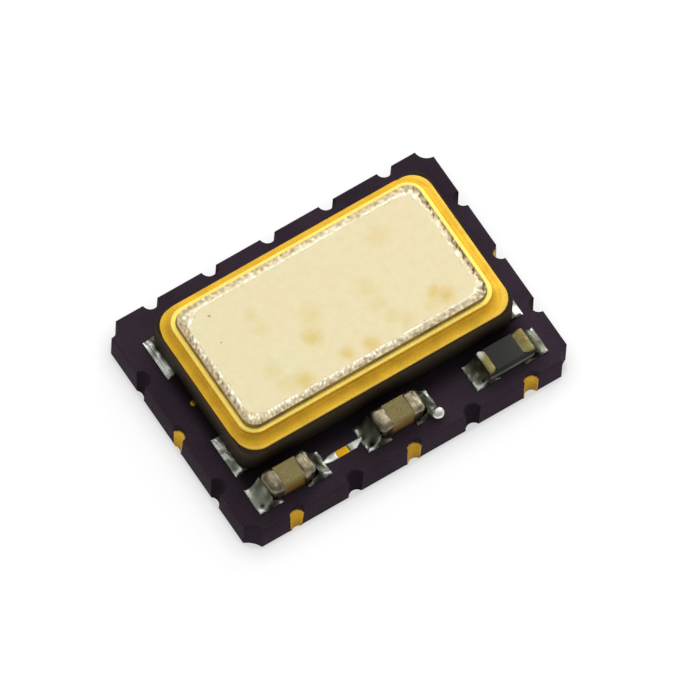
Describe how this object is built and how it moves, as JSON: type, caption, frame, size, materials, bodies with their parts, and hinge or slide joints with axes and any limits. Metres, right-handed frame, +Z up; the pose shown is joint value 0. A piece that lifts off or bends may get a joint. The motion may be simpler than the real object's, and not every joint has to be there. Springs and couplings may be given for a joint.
{
  "type": "crystal oscillator",
  "caption": "Surface mount crystal oscillator: a castellated ceramic base with a seam welded crystal package, chip capacitors and a chip resistor.",
  "frame": {"origin": "middle of the underside, on the plane that the terminal pads rest on", "axes": "+X along the length, +Y towards the back edge, away from the row of chips, +Z up through the lid"},
  "size_m": [0.007, 0.005, 0.0018],
  "materials": {
    "dark_ceramic": "matt fired ceramic, dark purple black",
    "gold_plating": "satin gold plating",
    "gold_ring": "polished gold plating",
    "silicon": "ground silicon",
    "resin": "black potting resin",
    "solder": "reflowed solder, bright with dull patches",
    "capacitor_ceramic": "tan fired ceramic",
    "tin_ends": "matt tin plating",
    "white_ceramic": "matt alumina",
    "dark_film": "satin dark glass film",
    "package_ceramic": "matt fired ceramic, grey black",
    "lid_metal": "pale nickel plating, rough weld track",
    "conductive_glue": "silver filled glue",
    "quartz": "polished quartz",
    "electrode_silver": "evaporated silver"
  },
  "bodies": {
    "root": {"base_substrate": "dark_ceramic", "terminal_front_left": "gold_plating", "terminal_front_middle": "gold_plating", "terminal_front_right": "gold_plating", "terminal_back_left": "gold_plating", "terminal_back_middle": "gold_plating", "terminal_back_right": "gold_plating", "terminal_left": "gold_plating", "terminal_right": "gold_plating", "via": "gold_plating", "oscillator_die": "silicon", "die_bumps": "gold_plating", "potting_resin": "resin", "capacitor_1_land": "gold_plating", "capacitor_link": "gold_plating", "capacitor_2_land": "gold_plating", "resistor_land_left": "gold_plating", "resistor_land_right": "gold_plating", "capacitor_1_body": "capacitor_ceramic", "capacitor_1_end_left": "tin_ends", "capacitor_1_end_right": "tin_ends", "capacitor_2_body": "capacitor_ceramic", "capacitor_2_end_left": "tin_ends", "capacitor_2_end_right": "tin_ends", "resistor_body": "white_ceramic", "resistor_film": "dark_film", "resistor_end_left": "tin_ends", "resistor_end_right": "tin_ends", "capacitor_1_solder_left": "solder", "capacitor_1_solder_right": "solder", "capacitor_2_solder_left": "solder", "capacitor_2_solder_right": "solder", "resistor_solder_left": "solder", "resistor_solder_right": "solder", "package_land_front_left": "gold_plating", "package_land_front_right": "gold_plating", "package_land_back_left": "gold_plating", "package_land_back_right": "gold_plating", "package_solder_front_left": "solder", "package_solder_front_right": "solder", "package_solder_back_left": "solder", "package_solder_back_right": "solder", "package_pads": "gold_plating", "package_body": "package_ceramic", "seal_metal": "gold_plating", "braze": "gold_ring", "seal_ring": "gold_ring", "lid": "lid_metal", "blank_lands": "gold_plating", "glue_dot_front": "conductive_glue", "glue_dot_back": "conductive_glue", "quartz_blank": "quartz", "electrode_top": "electrode_silver", "electrode_bottom": "electrode_silver"}
  },
  "joints": []
}
